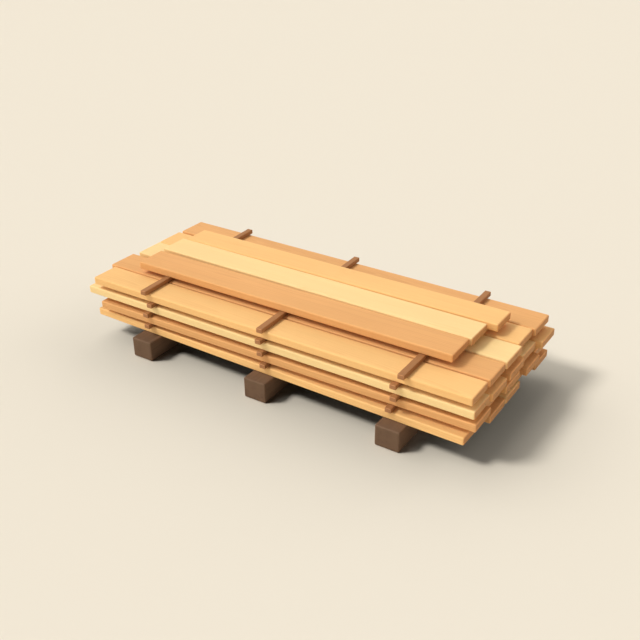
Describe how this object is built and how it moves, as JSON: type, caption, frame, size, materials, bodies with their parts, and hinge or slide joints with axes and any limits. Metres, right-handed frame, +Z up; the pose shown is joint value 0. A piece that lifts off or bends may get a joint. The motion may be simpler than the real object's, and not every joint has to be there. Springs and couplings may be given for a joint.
{
  "type": "stack of lumber",
  "caption": "Flat stack of sawn boards laid up to air-dry, its layers held apart by flat stickers laid across them and the whole raised on thick timber bearers.",
  "frame": {"origin": "centre of the underside of the middle bearer, on the ground", "axes": "+X along the boards, +Y across the stack from its front to its back, +Z up"},
  "size_m": [2.0793, 0.96, 0.378],
  "materials": {
    "light_orange_board": "sawn softwood, light orange, dry and matt",
    "orange_brown_board": "sawn softwood, orange-brown heartwood, dry and matt",
    "pale_yellow_board": "sawn softwood, pale yellow sapwood, dry and matt",
    "sticker_timber": "sawn sticker, mid-brown and matt",
    "bearer_timber": "sawn bearer, dark brown and matt"
  },
  "bodies": {
    "root": {"bearer_left": "bearer_timber", "bearer_middle": "bearer_timber", "bearer_right": "bearer_timber", "layer1_board1": "light_orange_board", "layer1_board2": "orange_brown_board", "layer1_board3": "pale_yellow_board", "layer1_board4": "light_orange_board", "layer1_board5": "orange_brown_board", "layer1_sticker_left": "sticker_timber", "layer1_sticker_middle": "sticker_timber", "layer1_sticker_right": "sticker_timber", "layer2_board1": "orange_brown_board", "layer2_board2": "pale_yellow_board", "layer2_board3": "light_orange_board", "layer2_board4": "orange_brown_board", "layer2_board5": "pale_yellow_board", "layer2_sticker_left": "sticker_timber", "layer2_sticker_middle": "sticker_timber", "layer2_sticker_right": "sticker_timber", "layer3_board1": "pale_yellow_board", "layer3_board2": "light_orange_board", "layer3_board3": "orange_brown_board", "layer3_board4": "pale_yellow_board", "layer3_board5": "light_orange_board", "layer3_sticker_left": "sticker_timber", "layer3_sticker_middle": "sticker_timber", "layer3_sticker_right": "sticker_timber", "layer4_board1": "light_orange_board", "layer4_board2": "orange_brown_board", "layer4_board3": "pale_yellow_board", "layer4_board4": "light_orange_board", "layer4_board5": "orange_brown_board", "layer4_sticker_left": "sticker_timber", "layer4_sticker_middle": "sticker_timber", "layer4_sticker_right": "sticker_timber", "top_board1": "orange_brown_board", "top_board2": "pale_yellow_board", "top_board3": "light_orange_board"}
  },
  "joints": []
}
